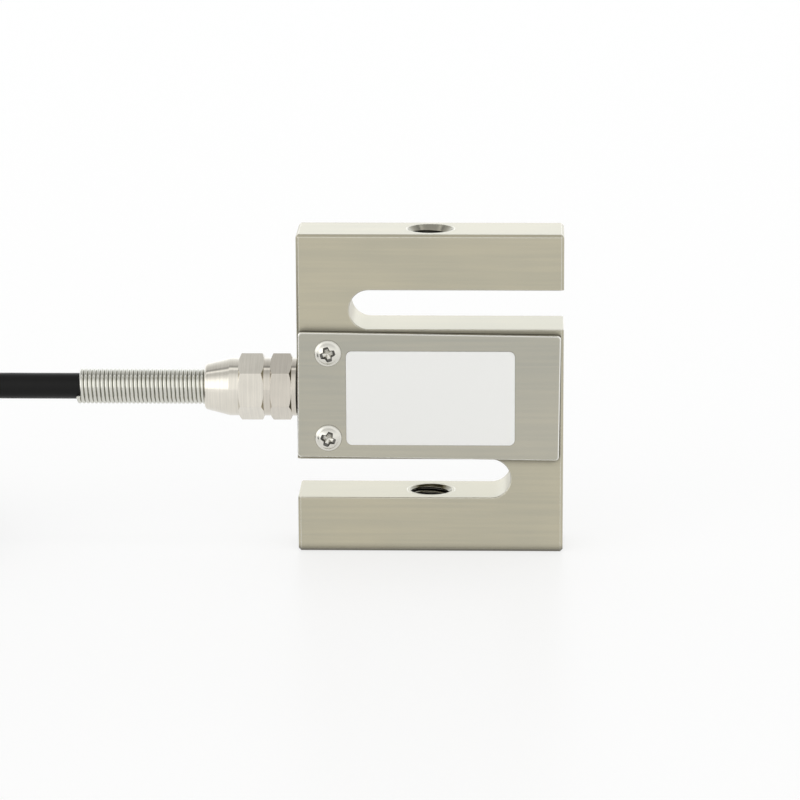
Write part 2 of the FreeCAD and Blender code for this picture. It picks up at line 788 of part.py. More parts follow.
def peanut(widening):
    """The hank's outline at a distance outside its innermost strand: two round ends and a waist."""
    reach, waist = size("hank_reach"), size("waist_offset") + widening
    radius = size("loop_radius") + widening
    gap = size("loop_radius") - size("waist_offset")
    height = (reach**2 - gap**2) / (2 * gap)
    pinch = height - waist
    angle = math.atan2(height, reach)
    join_x, join_y = reach - radius * math.cos(angle), radius * math.sin(angle)
    low = height - pinch
    ends = [Vector(sx * join_x, sy * join_y, 0) for sx, sy in ((1, 1), (-1, 1), (-1, -1), (1, -1))]
    arcs = [
        Part.Arc(ends[0], Vector(0, low, 0), ends[1]),
        Part.Arc(ends[1], Vector(-reach - radius, 0, 0), ends[2]),
        Part.Arc(ends[2], Vector(0, -low, 0), ends[3]),
        Part.Arc(ends[3], Vector(reach + radius, 0, 0), ends[0]),
    ]
    return Part.Face(Part.Wire([arc.toShape() for arc in arcs]))


def hank_eye():
    """The free space inside each end loop, pointed where the strands close up at the waist."""
    reach = size("hank_reach")
    radius = size("loop_radius") - size("cable_width") / 2
    gap = size("loop_radius") - size("waist_offset")
    height = (reach**2 - gap**2) / (2 * gap)
    pinch = height - size("waist_offset") + size("cable_width") / 2
    angle = math.atan2(height, reach)
    join_x, join_y = reach - radius * math.cos(angle), radius * math.sin(angle)
    narrow = size("tie_width")
    at_narrow = height - math.sqrt(pinch**2 - narrow**2)
    middle = (narrow + join_x) / 2
    at_middle = height - math.sqrt(pinch**2 - middle**2)
    spots = [Vector(narrow, at_narrow, 0), Vector(join_x, join_y, 0)]
    mirrored = [Vector(p.x, -p.y, 0) for p in spots]
    arcs = [
        Part.Arc(spots[0], Vector(middle, at_middle, 0), spots[1]),
        Part.Arc(spots[1], Vector(reach + radius, 0, 0), mirrored[1]),
        Part.Arc(mirrored[1], Vector(middle, -at_middle, 0), mirrored[0]),
        Part.LineSegment(mirrored[0], spots[0]),
    ]
    return Part.Face(Part.Wire([arc.toShape() for arc in arcs]))


def largest(shape):
    """The largest solid of a shape."""
    return max(shape.Solids, key=lambda solid: solid.Volume)


def cable_hank():
    """The tied hank of cable, the tie round its waist, and the ends that go in and come out."""
    pitch, cable, tie = size("strand_pitch"), size("cable_width"), size("tie_thick")
    reach, loop, waist = size("hank_reach"), size("loop_radius"), size("waist_offset")
    middle = Vector(-size("hank_center"), 0, 0)
    low = tie + cable / 2
    top = low + (size("hank_layers") - 1) * pitch
    groove = waist + pitch / 2
    over = top + cable + 0.5

    side = waist + pitch
    corners = [
        Vector(0, -side, low),
        Vector(0, side, low),
        Vector(0, side, top),
        Vector(0, groove + 1.3, over + 0.15),
        Vector(0, groove - 0.2, over + 0.15),
        Vector(0, -side, top),
    ]
    band = Part.makePolygon([*corners, corners[0]])
    start = Vector(-size("tie_width") / 2, 0, 0)
    run = Vector(size("tie_width"), 0, 0)
    filled = []
    for distance in (cable / 2, cable / 2 + tie):
        face = Part.Face(band.makeOffset2D(distance, 0, False, False, True))
        face.translate(start)
        filled.append(face.extrude(run))
    inside, outside = filled
    tie_ring = outside.cut(inside)

    height = top + cable / 2
    eye = hank_eye().extrude(Vector(0, 0, height))
    bundle = peanut(pitch + cable / 2).extrude(Vector(0, 0, height))
    bundle = bundle.cut(eye).cut(eye.mirror(Vector(), Vector(1, 0, 0)))
    slab = Part.makeBox(size("tie_width"), 200, 200, start + Vector(0, -100, -100))
    bundle = largest(bundle.cut(slab.cut(inside)))

    level = value(CABLE_LEVEL)
    leave = -value(HALF_WIDTH) - value(SPRING_END) + size("hank_center")
    lead_route = [
        Vector(leave, 0, level),
        Vector(leave - 28.7, 0, level),
        Vector(reach - 1, -0.6, top + 6.6),
        Vector(12, -1.6, top + 0.9),
        Vector(0.75 * size("tie_width"), -waist, top),
    ]
    lead = largest(tube(lead_route, cable, "cable_lead", 5 * cable).cut(bundle))
    tail_route = [
        Vector(7 - reach, loop + 3, top),
        Vector(-4.5, groove + 0.3, over),
        Vector(14.0, groove - 1, over + 0.2),
        Vector(26, groove + 1, over + 0.4),
    ]
    tail = largest(tube(tail_route, cable, "cable_tail", 5 * cable).cut(bundle))
    shapes = {
        "cable_lead": lead,
        "cable_hank": bundle,
        "hank_tie": tie_ring,
        "cable_tail": tail,
        **bare_end(tail_route[-2], tail_route[-1]),
    }
    for label, shape in shapes.items():
        shape.translate(middle)
        solid_part(label, shape)


def bare_end(before, end):
    """The sleeve on the loose end, and the four cores and the drain wire that fan out of it."""
    ahead = (end - before).normalize()
    sideways = Vector(0, 0, 1).cross(ahead).normalize()
    upwards = ahead.cross(sideways)
    cable = size("cable_width") / 2
    thick, long = size("sleeve_thick"), size("sleeve_length")
    on_jacket, neck = -0.55 * long, 0.45 * long
    profile = [
        Vector(on_jacket, cable, 0),
        Vector(on_jacket, cable + thick, 0),
        Vector(0, cable + thick, 0),
        Vector(neck, 0.8 * cable + thick, 0),
        Vector(neck, 0.8 * cable, 0),
        Vector(0, cable, 0),
    ]
    sleeve = Part.Face(Part.makePolygon([*profile, profile[0]]))
    sleeve = sleeve.revolve(Vector(), Vector(1, 0, 0), 360)
    sleeve.Placement = Placement(end, Rotation(ahead, sideways, upwards, "XYZ"))
    shapes = {"end_sleeve": sleeve}
    width, reach = size("end_core_width"), size("end_core_length")
    spread = {
        "end_core_red": (width, (0.6, 0.6), (1.6, 1.3), (4.0, 1.5)),
        "end_core_black": (width, (-0.6, 0.6), (-1.4, 1.4), (-3.2, 2.2)),
        "end_core_green": (width, (-0.6, -0.6), (-1.3, -0.8), (-2.2, -1.3)),
        "end_core_white": (width, (0.6, -0.6), (1.3, -0.9), (2.0, -1.4)),
        "drain_wire": (0.6 * width, (0.0, -1.5), (0.1, -1.6), (0.3, -1.9)),
    }
    for label, (thickness, near_end, half_way, far_end) in spread.items():
        stations = ((0, near_end), (0.35, near_end), (0.7, half_way), (1, far_end))
        route = [
            end + ahead * share * reach + sideways * across + upwards * up
            for share, (across, up) in stations
        ]
        shapes[label] = tube(route, thickness, label, 3 * thickness)
    return shapes


s_body()
gasket("front_gasket", -1)
gasket("back_gasket", 1)
cover("front_cover", -1, "sizes.front_cover_turn")
cover("back_cover", 1, "0")
label_plate()
for screw_label, screw_side, screw_sign, screw_turn in (
    ("front_screw_upper", -1, "+", 75),
    ("front_screw_lower", -1, "-", 27),
    ("back_screw_upper", 1, "+", 35),
    ("back_screw_lower", 1, "-", 75),
):
    screw(screw_label, screw_side, screw_sign, screw_turn)
web_parts()
gland_body()
gland_cap_nut()
gland_inside()
relief_spring()
inner_cores()
cable_hank()
doc.recompute()

for item in doc.Objects:
    if "Invalid" in item.State or "Error" in item.State:
        raise RuntimeError(f"{item.Name} ({item.Label}) did not recompute: {item.State}")
for part in nodes:
    if part.Shape.isNull() or not part.Shape.isValid():
        raise RuntimeError(f"{part.Label} has no valid shape")
    if len(part.Shape.Solids) != 1:
        raise RuntimeError(f"{part.Label} has {len(part.Shape.Solids)} solids")

os.makedirs("parts", exist_ok=True)
for part in nodes:
    part.Shape.exportStep(f"parts/{part.Label}.step")
print(f"{len(nodes)} sub-parts written")
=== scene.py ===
"""The dressed S-type load cell: materials, cut threads, wound spring, tied cable, floor, light and camera."""
import math

import bmesh
import bpy
from mathutils import Matrix, Vector


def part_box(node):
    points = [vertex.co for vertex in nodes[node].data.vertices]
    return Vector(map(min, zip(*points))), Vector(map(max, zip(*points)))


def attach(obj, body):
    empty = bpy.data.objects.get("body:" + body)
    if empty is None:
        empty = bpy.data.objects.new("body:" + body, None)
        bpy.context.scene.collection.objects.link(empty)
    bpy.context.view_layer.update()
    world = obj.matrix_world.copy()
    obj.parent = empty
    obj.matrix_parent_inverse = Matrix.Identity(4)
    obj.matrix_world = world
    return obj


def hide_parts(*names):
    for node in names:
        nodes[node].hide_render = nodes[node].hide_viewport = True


MM = 0.001
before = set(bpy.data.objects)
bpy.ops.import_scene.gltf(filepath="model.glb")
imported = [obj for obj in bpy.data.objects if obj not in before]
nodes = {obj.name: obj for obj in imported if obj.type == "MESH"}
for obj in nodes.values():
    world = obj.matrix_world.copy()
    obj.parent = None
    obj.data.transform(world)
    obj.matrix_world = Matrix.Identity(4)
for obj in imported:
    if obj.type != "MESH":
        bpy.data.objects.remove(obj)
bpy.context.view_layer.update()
scene = bpy.context.scene

# the cable's height above the base, the X where it leaves the spring, and its diameter, in millimetres
CABLE_LEVEL, SPRING_END, CABLE = 31.0, -68.1, 5.0


def mm(x, y, z):
    """A point given in millimetres, in metres."""
    return Vector((x * MM, y * MM, z * MM))


# ---------------------------------------------------------------- camera

CAMERA_PLACE = (18.2, -724.2, 203.7)
CAMERA_TURN = (-1.91, -13.6, -0.25)  # yaw, pitch and roll in degrees
CAMERA_LENS = 174.4


def add_camera():
    """The camera, far away and a little above, looking along +Y and down."""
    yaw, pitch, roll = (math.radians(angle) for angle in CAMERA_TURN)
    ahead = Vector(
        (math.sin(yaw) * math.cos(pitch), math.cos(yaw) * math.cos(pitch), math.sin(pitch))
    )
    level = Vector((math.cos(yaw), -math.sin(yaw), 0))
    above = level.cross(ahead)
    right = level * math.cos(roll) + above * math.sin(roll)
    up = above * math.cos(roll) - level * math.sin(roll)
    data = bpy.data.cameras.new("camera")
    data.sensor_width = 36.0
    data.lens = CAMERA_LENS
    data.clip_start = 0.05
    data.clip_end = 20
    camera = bpy.data.objects.new("camera", data)
    turn = Matrix((right, up, -ahead)).transposed().to_4x4()
    camera.matrix_world = Matrix.Translation(mm(*CAMERA_PLACE)) @ turn
    scene.collection.objects.link(camera)
    scene.camera = camera


add_camera()


# ---------------------------------------------------------------- materials

def feed(tree, socket, given):
    """Joins another node's output to a socket, or sets the socket's own value."""
    if isinstance(given, bpy.types.NodeSocket):
        tree.links.new(given, socket)
    else:
        socket.default_value = given


class Nodes:
    """A material's node tree, with short calls to add and join its nodes."""

    def __init__(self, name):
        self.material = bpy.data.materials.new(name)
        self.material.use_nodes = True
        self.tree = self.material.node_tree
        self.shader = self.tree.nodes["Principled BSDF"]
        self.place = self.tree.nodes.new("ShaderNodeTexCoord").outputs["Object"]

    def add(self, kind, inputs=None, **settings):
        node = self.tree.nodes.new(kind)
        for key, setting in settings.items():
            setattr(node, key, setting)
        for key, given in (inputs or {}).items():
            socket = node.inputs[key] if isinstance(key, int) else self.named(node.inputs, key)
            feed(self.tree, socket, given)
        return node

    @staticmethod
    def named(sockets, name):
        """The socket of that name which is in use, as a Mix node has several of each name."""
        return next(socket for socket in sockets if socket.name == name and socket.enabled)

    def set(self, **values):
        for key, given in values.items():
            feed(self.tree, self.shader.inputs[key.replace("_", " ")], given)

    def noise(self, scale, detail, rough, stretch=(1, 1, 1), shift=(0, 0, 0)):
        """Noise with features of about 1/scale of a metre, drawn out along an axis by a low stretch."""
        mapping = self.add("ShaderNodeMapping", {"Vector": self.place, "Scale": stretch, "Location": shift})
        inputs = {"Vector": mapping.outputs[0], "Scale": scale, "Detail": detail, "Roughness": rough}
        return self.add("ShaderNodeTexNoise", inputs).outputs["Fac"]

    def ramp(self, factor, *stops):
        """A colour ramp of (position, colour) stops."""
        node = self.add("ShaderNodeValToRGB", {"Fac": factor})
        elements = node.color_ramp.elements
        while len(elements) < len(stops):
            elements.new(0.5)
        for element, (position, color) in zip(elements, stops, strict=True):
            element.position = position
            element.color = (*color, 1)
        return node.outputs["Color"]

    def span(self, factor, low, high, start, end):
        """The factor from start to end, mapped to low to high along an even S."""
        inputs = {"Value": factor, "From Min": start, "From Max": end, "To Min": low, "To Max": high}
        return self.add("ShaderNodeMapRange", inputs, interpolation_type="SMOOTHSTEP").outputs["Result"]

    def math(self, operation, a, b):
        return self.add("ShaderNodeMath", {0: a, 1: b}, operation=operation).outputs[0]

    def bump(self, height, distance, strength, normal=None):
        inputs = {"Height": height, "Distance": distance, "Strength": strength}
        if normal is not None:
            inputs["Normal"] = normal
        return self.add("ShaderNodeBump", inputs).outputs["Normal"]

    def soft_edges(self, radius):
        """A normal that rounds sharp edges by a small radius, so that they catch the light."""
        return self.add("ShaderNodeBevel", {"Radius": radius}, samples=6).outputs["Normal"]


def dress(name, material):
    """Gives a CAD node its material."""
    mesh = nodes[name].data
    mesh.materials.clear()
    mesh.materials.append(material)


def satin_metal(name, warm, cool, rough, edge, edge_highlight, shade_reach, plate=False):
    """Satin nickel plate: faint grinding lines along X, cloudy tones, edges painted pale as a highlight,
    and crevices painted darker as shade.

    On a plate that lies square to Y, everything but its flat face is painted pale as well, as a highlight."""
    m = Nodes(name)
    cloud = m.noise(30, 3, 0.5, (1, 1, 1.4), (0.013, 0, 0.02))
    lines = m.noise(1500, 2, 0.5, (0.025, 1, 1))
    tone = m.math("ADD", m.span(cloud, 0, 0.65, 0.3, 0.7), m.span(lines, 0, 0.35, 0.25, 0.75))
    rounded = m.soft_edges(edge)
    flat = m.add("ShaderNodeNewGeometry").outputs["Normal"]
    facing = m.add("ShaderNodeVectorMath", {0: rounded, 1: flat}, operation="DOT_PRODUCT").outputs["Value"]
    # painted highlight: where the rounded normal turns from the flat one, the edge is painted pale as a lit
    # edge
    painted_highlight = m.span(facing, edge_highlight, 0.0, 0.88, 0.998)
    if plate:
        normal = m.add("ShaderNodeTexCoord").outputs["Normal"]
        across = m.math("ABSOLUTE", m.add("ShaderNodeSeparateXYZ", {0: normal}).outputs["Y"], 0)
        # painted highlight: on a plate, the sides and rounded rim are painted pale too
        painted_highlight = m.math("MAXIMUM", painted_highlight, m.span(across, 1.0, 0.0, 0.8, 0.995))
    # the painted edge highlight mixes a pale colour over the metal's tone
    highlight_mix = {"Factor": painted_highlight, "A": m.ramp(tone, (0.0, warm), (1.0, cool)), "B": (0.93, 0.92, 0.88, 1)}
    mixed = m.add("ShaderNodeMix", highlight_mix, data_type="RGBA")
    # painted shade: ambient occlusion darkens the colour in crevices, along the cover's edge and round screw
    # heads
    open_sky = m.add("ShaderNodeAmbientOcclusion", {"Distance": shade_reach}, samples=8).outputs["AO"]
    painted_shade = m.span(open_sky, 0.34, 1.0, 0.6, 0.98)
    color = {0: m.named(mixed.outputs, "Result"), "Scale": painted_shade}
    m.set(Base_Color=m.add("ShaderNodeVectorMath", color, operation="SCALE").outputs[0], Metallic=1.0)
    m.set(Roughness=rough)
    m.set(Normal=m.bump(lines, 0.0000025, 0.4, rounded))
    return m.material


def polished_nickel(name, color, rough, marks=0.02, lathe=True):
    """Bright nickel plate on a turned piece, with fine lines round the cable's axis."""
    m = Nodes(name)
    stretch = (1, 0.02, 0.02) if lathe else (1, 1, 1)
    rings = m.noise(5200, 3, 0.6, stretch)
    cloud = m.noise(160, 2, 0.5)
    darker = tuple(0.93 * c for c in color)
    streak = m.span(rings, 1 - marks, 1 + marks / 2, 0.35, 0.65)
    tint = {0: m.ramp(cloud, (0.35, darker), (0.65, color)), "Scale": streak}
    m.set(Base_Color=m.add("ShaderNodeVectorMath", tint, operation="SCALE").outputs[0], Metallic=1.0)
    m.set(Roughness=m.span(cloud, rough * 0.8, rough * 1.25, 0.3, 0.7))
    m.set(Normal=m.bump(rings, 0.000006, 0.35, m.soft_edges(0.00009)))
    return m.material


def plain_plastic(name, color, rough, bump=0.00001, scale=2600, lift=1.18, specular=0.5):
    """A moulded or extruded plastic or rubber skin with a fine uneven surface."""
    m = Nodes(name)
    skin = m.noise(scale, 4, 0.6)
    cloud = m.noise(90, 3, 0.5)
    lighter = tuple(min(1, lift * c + 0.001) for c in color)
    m.set(Base_Color=m.ramp(cloud, (0.35, color), (0.7, lighter)))
    m.set(Roughness=m.span(cloud, rough - 0.05, rough + 0.07, 0.3, 0.7), Specular_IOR_Level=specular)
    m.set(Normal=m.bump(skin, bump, 0.6))
    return m.material


# the satin metals below carry a painted edge highlight and painted shade in crevices, set by their last
# numbers
BODY = satin_metal(
    "satin_nickel_body", warm=(0.545, 0.503, 0.38), cool=(0.455, 0.435, 0.345),
    rough=0.26, edge=0.0003, edge_highlight=0.7, shade_reach=0.0018,
)
COVER = satin_metal(
    "satin_nickel_cover", warm=(0.50, 0.475, 0.39), cool=(0.42, 0.415, 0.36),
    rough=0.24, edge=0.0004, edge_highlight=0.95, shade_reach=0.00012, plate=True,
)
THREAD = satin_metal(
    "cut_thread", warm=(0.40, 0.38, 0.31), cool=(0.34, 0.33, 0.28),
    rough=0.18, edge=0.00003, edge_highlight=0.3, shade_reach=0.003,
)
NICKEL = polished_nickel("polished_nickel_nut", (0.76, 0.725, 0.65), 0.12, marks=0.05)
GLAND = polished_nickel("polished_nickel_gland", (0.66, 0.62, 0.55), 0.13, marks=0.05)
SCREW = polished_nickel("bright_nickel_screws", (0.77, 0.755, 0.695), 0.26, lathe=False)
# painted shade: a dark copy of the screw's nickel for the recess walls, where shade falls
RECESS_SHADE = polished_nickel("painted_shade_screw_recess", (0.20, 0.195, 0.18), 0.45, lathe=False)
SPRING = polished_nickel("bright_spring_wire", (0.67, 0.665, 0.61), 0.15)
RUBBER = plain_plastic("black_rubber", (0.02, 0.02, 0.02), 0.6)
JACKET = plain_plastic(
    "black_cable_jacket", (0.0035, 0.0035, 0.0035), 0.36, bump=0.000012, scale=1500, specular=0.2
)
TIE = plain_plastic("black_tie", (0.012, 0.012, 0.012), 0.5)
SLEEVE = plain_plastic("black_shrink_sleeve", (0.009, 0.009, 0.009), 0.42)
NYLON = plain_plastic("natural_nylon", (0.62, 0.61, 0.56), 0.45)
LABEL = plain_plastic(
    "pale_label_film", (0.845, 0.845, 0.83), 0.45, bump=0.000002, scale=1200, lift=1.0, specular=0.3
)
GAUGE = plain_plastic("amber_gauge_film", (0.55, 0.27, 0.07), 0.35)
BOARD = plain_plastic("green_board", (0.02, 0.14, 0.06), 0.35)
RESISTOR = plain_plastic("black_resistor", (0.03, 0.03, 0.032), 0.5)
TINNED = polished_nickel("tinned_copper", (0.62, 0.61, 0.59), 0.3)
CORES = {
    "red": plain_plastic("core_red", (0.50, 0.02, 0.015), 0.35),
    "black": plain_plastic("core_black", (0.012, 0.012, 0.012), 0.35),
    "green": plain_plastic("core_green", (0.02, 0.26, 0.06), 0.35),
    "white": plain_plastic("core_white", (0.78, 0.78, 0.75), 0.35),
}

for node_name, material in {
    "front_cover": COVER,
    "back_cover": COVER,
    "front_gasket": RUBBER,
    "back_gasket": RUBBER,
    "front_label": LABEL,
    "strain_gauge_front": GAUGE,
    "strain_gauge_back": GAUGE,
    "terminal_board": BOARD,
    "span_resistor": RESISTOR,
    "balance_resistor": RESISTOR,
    "core_inner_red": CORES["red"],
    "core_inner_black": CORES["black"],
    "core_inner_green": CORES["green"],
    "core_inner_white": CORES["white"],
    "gland_body": GLAND,
    "gland_cap_nut": NICKEL,
    "gland_washer": RUBBER,
    "clamp_ring": NYLON,
    "seal_grommet": RUBBER,
    "cable_in_gland": JACKET,
    "hank_tie": TIE,
    "end_sleeve": SLEEVE,
    "end_core_red": CORES["red"],
    "end_core_black": CORES["black"],
    "end_core_green": CORES["green"],
    "end_core_white": CORES["white"],
    "drain_wire": TINNED,
}.items():
    dress(node_name, material)


# ---------------------------------------------------------------- shapes

def add_object(name, data, material):
    """An object of one material in the scene, which rides on the part."""
    thing = bpy.data.objects.new(name, data)
    scene.collection.objects.link(thing)
    data.materials.clear()
    data.materials.append(material)
    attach(thing, "root")
    return thing


def tube_curve(name, points, radius, material, rings, steps):
    """A round tube along one smooth open NURBS spline with those control points.

    Rings is how finely it is round, and steps how many pieces lie between two points."""
    data = bpy.data.curves.new(name, "CURVE")
    data.dimensions = "3D"
    data.bevel_depth = radius
    data.bevel_resolution = rings
    data.use_fill_caps = True
    spline = data.splines.new("NURBS")
    spline.points.add(len(points) - 1)
    for control, point in zip(spline.points, points, strict=True):
        control.co = (*point, 1)
    spline.order_u = 3
    spline.use_endpoint_u = True
    spline.resolution_u = steps
    return add_object(name, data, material)


def path_length(curve):
    """The length of a curve object's line, in metres."""
    bare = curve.data.copy()
    bare.bevel_depth = 0
    probe = bpy.data.objects.new("probe", bare)
    scene.collection.objects.link(probe)
    bpy.context.view_layer.update()
    line = bpy.data.meshes.new_from_object(probe.evaluated_get(bpy.context.evaluated_depsgraph_get()))
    spots = [vertex.co for vertex in line.vertices]
    total = sum((spots[edge.vertices[0]] - spots[edge.vertices[1]]).length for edge in line.edges)
    bpy.data.objects.remove(probe)
    bpy.data.curves.remove(bare)
    bpy.data.meshes.remove(line)
    return total


# ---------------------------------------------------------------- cable

# the hank's middle, the loops' distance from it, and the inner turn's radius and offset at the waist
HANK_CENTER, REACH, LOOP, WAIST = -142.0, 28.0, 15.5, 2.55
# the strands' spacing, the layers on each other, and the tie under them
PITCH, LAYERS, TIE_THICK = 5.1, 4, 1.1
HANK_TURNS = 7.36
TOP = TIE_THICK + CABLE / 2 + (LAYERS - 1) * PITCH
GAP = LOOP - WAIST
HIGH = (REACH**2 - GAP**2) / (2 * GAP)
JOIN = math.atan2(HIGH, REACH)


def smooth(value):
    """0 below 0, 1 above 1, and an even S between."""
    value = min(1, max(0, value))
    return value * value * (3 - 2 * value)


def turn_stations():
    """One turn of the hank as (share of the turn, point finder), starting at the waist's front side.

    A finder gives the control point for a strand that lies widening outside the innermost one."""
    pinch, opening = math.pi / 2 - JOIN, 2 * math.pi - 2 * JOIN
    waist_points, end_points = 3, 8

    def waist_point(side, angle, step):
        def find(widening):
            radius = (HIGH - WAIST - widening) / math.cos(step / 2)
            return radius * math.sin(angle), side * (HIGH - radius * math.cos(angle))
        return find

    def end_point(side, angle, step):
        def find(widening):
            radius = (LOOP + widening) / math.cos(step / 2)
            return side * REACH + radius * math.cos(angle), radius * math.sin(angle)
        return find

    pinch_step, end_step = 2 * pinch / waist_points, opening / end_points
    left, right = -JOIN, math.pi - JOIN
    finders = [waist_point(-1, 0, pinch_step), waist_point(-1, -pinch_step, pinch_step)]
    finders += [end_point(-1, left - (k + 0.5) * end_step, end_step) for k in range(end_points)]
    finders += [waist_point(1, (k - 1) * pinch_step, pinch_step) for k in range(waist_points)]
    finders += [end_point(1, right - (k + 0.5) * end_step, end_step) for k in range(end_points)]
    finders.append(waist_point(-1, pinch_step, pinch_step))
    spots = [Vector(finder(0)) for finder in finders]
    runs = [(spots[k + 1 - len(spots)] - spots[k]).length for k in range(len(spots))]
    whole = sum(runs)
    return [(sum(runs[:k]) / whole, finder) for k, finder in enumerate(finders)]


def hank_points(last):
    """Control points of the turns, from the waist to the station where the loose end leaves.

    The turns go down one after the other on the inside, and back up outside those."""
    cells = [(0, level) for level in reversed(range(LAYERS))] + [(PITCH, level) for level in range(LAYERS)]
    change, early = 0.08, 0.03  # how long a change of layer takes, and how soon it starts, in turns
    tie_half, tie_slope = 8, 12  # how far the strands stay level on the tie, and then come down
    points = []
    stations = turn_stations()
    for turn in range(len(cells)):
        for share, finder in stations:
            travelled = turn + share
            if travelled > last:
                return points
            widening, level = cells[0]
            for k in range(1, len(cells)):
                moved = smooth((travelled - (k * (1 - change) - early)) / change)
                widening += moved * (cells[k][0] - cells[k - 1][0])
                level += moved * (cells[k][1] - cells[k - 1][1])
            across, along = finder(widening)
            raised = TIE_THICK * (1 - smooth((abs(across) - tie_half) / tie_slope))
            points.append(mm(HANK_CENTER + across, along, CABLE / 2 + level * PITCH + raised))
    return points


# the loose end lies on top, over the groove between the two strands of one side
groove = WAIST + PITCH / 2
over = TOP + CABLE + 0.5
lead_points = [
    mm(SPRING_END, 0, CABLE_LEVEL),
    mm(-85, 0, CABLE_LEVEL),
    mm(-97, 0, CABLE_LEVEL),
    mm(HANK_CENTER + REACH - 1, -0.6, TOP + 6.6),
    mm(HANK_CENTER + 12, -1.6, TOP + 0.9),
]
tail_points = [
    mm(HANK_CENTER - 4.5, groove + 0.3, over),
    mm(HANK_CENTER + 14, groove - 1, over + 0.2),
    mm(HANK_CENTER + 26, groove + 1, over + 0.4),
]
cable_points = lead_points + hank_points(HANK_TURNS) + tail_points
cable = tube_curve("cable", cable_points, CABLE / 2 * MM, JACKET, rings=8, steps=8)
cable_length = path_length(cable)
print(f"cable length {cable_length:.4f} m")
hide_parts("cable_lead", "cable_hank", "cable_tail")


# ---------------------------------------------------------------- spring

def relief_spring():
    """The close-wound spring as a true helix of round wire, with its cut end at the cable's side."""
    low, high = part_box("relief_spring")
    wire, pitch = 0.78 * MM, 0.80 * MM
    cut_end = 208  # where the last turn ends, in degrees
    mean = (high.z - low.z) / 2 - wire / 2
    center = (high.z + low.z) / 2
    start, end = high.x - wire / 2, low.x + wire / 2
    turns = (start - end) / pitch
    per_turn = 26
    count = int(turns * per_turn)
    radius = mean / math.cos(math.pi / per_turn)
    points = []
    for k in range(count + 1):
        angle = math.radians(cut_end) + 2 * math.pi * (turns - k / per_turn)
        x = start - (start - end) * k / count
        points.append(Vector((x, radius * math.cos(angle), center + radius * math.sin(angle))))
    spring = tube_curve("spring_coil", points, wire / 2, SPRING, rings=5, steps=2)
    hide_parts("relief_spring")


relief_spring()


# ---------------------------------------------------------------- mesh tools

def shade(thing, angle, flat_area):
    """Smooth shading up to an angle in degrees, except on flat faces above an area in square mm."""
    mesh = bmesh.new()
    mesh.from_mesh(thing.data)
    mesh.normal_update()
    unseen = set(mesh.faces)
    while unseen:
        region, front = [], [unseen.pop()]
        while front:
            face = front.pop()
            region.append(face)
            for edge in face.edges:
                for other in edge.link_faces:
                    if other in unseen and other.normal.dot(face.normal) > 0.99999:
                        unseen.remove(other)
                        front.append(other)
        flat = sum(face.calc_area() for face in region) > flat_area * MM * MM
        for face in region:
            face.smooth = not flat
    for edge in mesh.edges:
        turned = edge.calc_face_angle(math.pi) > math.radians(angle)
        edge.smooth = not turned
    mesh.to_mesh(thing.data)
    mesh.free()


def cut_away(thing, mesh):
    """Cuts a closed bmesh out of an object's mesh, and frees it."""
    bmesh.ops.recalc_face_normals(mesh, faces=mesh.faces)
    data = bpy.data.meshes.new("cutter")
    mesh.to_mesh(data)
    mesh.free()
    cutter = bpy.data.objects.new("cutter", data)
    scene.collection.objects.link(cutter)
    cut = thing.modifiers.new("cut", "BOOLEAN")
    cut.operation = "DIFFERENCE"
    cut.solver = "EXACT"
    cut.object = cutter
    bpy.context.view_layer.update()
    graph = bpy.context.evaluated_depsgraph_get()
    thing.data = bpy.data.meshes.new_from_object(thing.evaluated_get(graph))
    thing.modifiers.clear()
    bpy.data.objects.remove(cutter)


def ring_skin(mesh, rings):
    """Faces between equal rings of vertices, closed at both ends. A ring of one vertex is a point."""
    for upper, lower in zip(rings, rings[1:], strict=False):
        if len(lower) == 1:
            for k in range(len(upper)):
                mesh.faces.new((upper[k], upper[(k + 1) % len(upper)], lower[0]))
            continue
        for k in range(len(upper)):
            n = (k + 1) % len(upper)
            mesh.faces.new((upper[k], upper[n], lower[n], lower[k]))
    for ring in (rings[0], rings[-1]):
        if len(ring) > 1:
            mesh.faces.new(ring)


# ---------------------------------------------------------------- screws

SHANK = 1.25  # the radius of an M2.5 thread
# the cross recess: its rings' depth, an arm's reach and width, and the distance of the inner corners
RECESS_RINGS = ((-0.3, 2.15, 1.25, 1.15), (0.95, 0.95, 0.7, 0.6))
RECESS_DEPTH = 1.3


